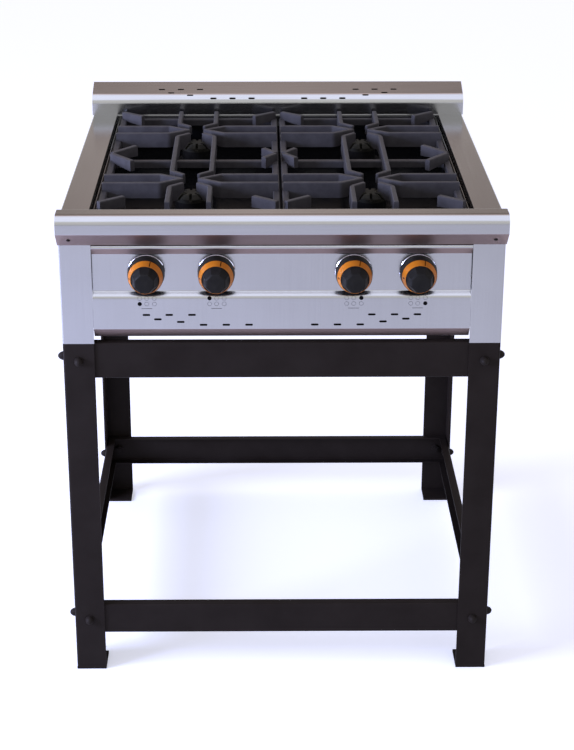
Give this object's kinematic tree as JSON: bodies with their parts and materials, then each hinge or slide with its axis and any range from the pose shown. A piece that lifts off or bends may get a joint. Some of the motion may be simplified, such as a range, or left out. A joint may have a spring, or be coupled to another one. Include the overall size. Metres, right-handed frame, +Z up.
{
  "type": "gas hob",
  "caption": "Free-standing gas hob: folded stainless body with cast grates, burners and push-and-turn knobs, on a bolted angle-iron stand with channel rails.",
  "frame": {"origin": "on the floor under the middle of the whole object's box", "axes": "+X to the user's right, +Y from the knobs to the backguard, +Z up"},
  "size_m": [0.7194, 0.723, 0.8608],
  "materials": {
    "black_painted_steel": "semi-matt black paint",
    "black_bolt_steel": "semi-matt black paint",
    "brushed_stainless": "brushed, fine horizontal grain",
    "black_enamel": "glossy vitreous enamel",
    "zinc_steel": "bright zinc plate",
    "cast_grate_iron": "blue-black enamelled casting",
    "cast_burner_iron": "bare casting, heat darkened",
    "pipe_steel": "plain drawn pipe",
    "tap_brass": "turned brass",
    "tube_aluminium": "drawn tube",
    "polished_stainless": "polished",
    "black_knob_plastic": "semi-gloss moulded",
    "orange_dial_plastic": "satin printed ring"
  },
  "bodies": {
    "hob": {"leg_front_left": "black_painted_steel", "leg_front_right": "black_painted_steel", "leg_rear_left": "black_painted_steel", "leg_rear_right": "black_painted_steel", "upper_rail_front": "black_painted_steel", "upper_rail_rear": "black_painted_steel", "upper_rail_left": "black_painted_steel", "upper_rail_right": "black_painted_steel", "lower_rail_front": "black_painted_steel", "lower_rail_rear": "black_painted_steel", "lower_rail_left": "black_painted_steel", "lower_rail_right": "black_painted_steel", "frame_bolts": "black_bolt_steel", "frame_nuts": "black_bolt_steel", "vent_baffle_front": "black_painted_steel", "vent_baffle_rear": "black_painted_steel", "side_casing_left": "brushed_stainless", "side_casing_right": "brushed_stainless", "front_nosing": "brushed_stainless", "control_panel": "brushed_stainless", "backguard": "brushed_stainless", "rear_panel": "brushed_stainless", "spill_pan": "black_enamel", "casing_bolts": "zinc_steel", "manifold_brackets": "zinc_steel", "burner_front_left": "cast_burner_iron", "burner_rear_left": "cast_burner_iron", "burner_rear_right": "cast_burner_iron", "burner_front_right": "cast_burner_iron", "burner_cap_front_left": "cast_burner_iron", "burner_cap_rear_left": "cast_burner_iron", "burner_cap_rear_right": "cast_burner_iron", "burner_cap_front_right": "cast_burner_iron", "gas_manifold": "pipe_steel", "gas_inlet_pipe": "pipe_steel", "injectors": "tap_brass", "gas_tap_front_left": "tap_brass", "gas_tap_rear_left": "tap_brass", "gas_tap_rear_right": "tap_brass", "gas_tap_front_right": "tap_brass", "supply_tubes": "tube_aluminium", "knob_bezels": "polished_stainless"},
    "grate_left": {"grate_left": "cast_grate_iron"},
    "grate_right": {"grate_right": "cast_grate_iron"},
    "push_front_left": {"spring_cap_front_left": "tap_brass"},
    "turn_front_left": {"spindle_front_left": "polished_stainless", "knob_front_left": "black_knob_plastic", "dial_ring_front_left": "orange_dial_plastic"},
    "push_rear_left": {"spring_cap_rear_left": "tap_brass"},
    "turn_rear_left": {"spindle_rear_left": "polished_stainless", "knob_rear_left": "black_knob_plastic", "dial_ring_rear_left": "orange_dial_plastic"},
    "push_rear_right": {"spring_cap_rear_right": "tap_brass"},
    "turn_rear_right": {"spindle_rear_right": "polished_stainless", "knob_rear_right": "black_knob_plastic", "dial_ring_rear_right": "orange_dial_plastic"},
    "push_front_right": {"spring_cap_front_right": "tap_brass"},
    "turn_front_right": {"spindle_front_right": "polished_stainless", "knob_front_right": "black_knob_plastic", "dial_ring_front_right": "orange_dial_plastic"}
  },
  "joints": [
    {"name": "grate_left_lift", "type": "slide", "parent": "hob", "child": "grate_left", "axis": [0, 0, 1], "range_m": [0, 0.1]},
    {"name": "grate_right_lift", "type": "slide", "parent": "hob", "child": "grate_right", "axis": [0, 0, 1], "range_m": [0, 0.1]},
    {"name": "knob_front_left_push", "type": "slide", "parent": "hob", "child": "push_front_left", "axis": [0, 1, 0], "range_m": [0, 0.004], "stiffness_N_per_m": 2000, "springref_m": -0.003},
    {"name": "knob_front_left_turn", "type": "hinge", "parent": "push_front_left", "child": "turn_front_left", "pos_m": [-0.213, -0.33, 0.7197], "axis": [0, -1, 0], "range_deg": [0, 180]},
    {"name": "knob_rear_left_push", "type": "slide", "parent": "hob", "child": "push_rear_left", "axis": [0, 1, 0], "range_m": [0, 0.004], "stiffness_N_per_m": 2000, "springref_m": -0.003},
    {"name": "knob_rear_left_turn", "type": "hinge", "parent": "push_rear_left", "child": "turn_rear_left", "pos_m": [-0.103, -0.33, 0.7197], "axis": [0, -1, 0], "range_deg": [0, 180]},
    {"name": "knob_rear_right_push", "type": "slide", "parent": "hob", "child": "push_rear_right", "axis": [0, 1, 0], "range_m": [0, 0.004], "stiffness_N_per_m": 2000, "springref_m": -0.003},
    {"name": "knob_rear_right_turn", "type": "hinge", "parent": "push_rear_right", "child": "turn_rear_right", "pos_m": [0.113, -0.33, 0.7197], "axis": [0, -1, 0], "range_deg": [0, 180]},
    {"name": "knob_front_right_push", "type": "slide", "parent": "hob", "child": "push_front_right", "axis": [0, 1, 0], "range_m": [0, 0.004], "stiffness_N_per_m": 2000, "springref_m": -0.003},
    {"name": "knob_front_right_turn", "type": "hinge", "parent": "push_front_right", "child": "turn_front_right", "pos_m": [0.214, -0.33, 0.7197], "axis": [0, -1, 0], "range_deg": [0, 180]}
  ]
}
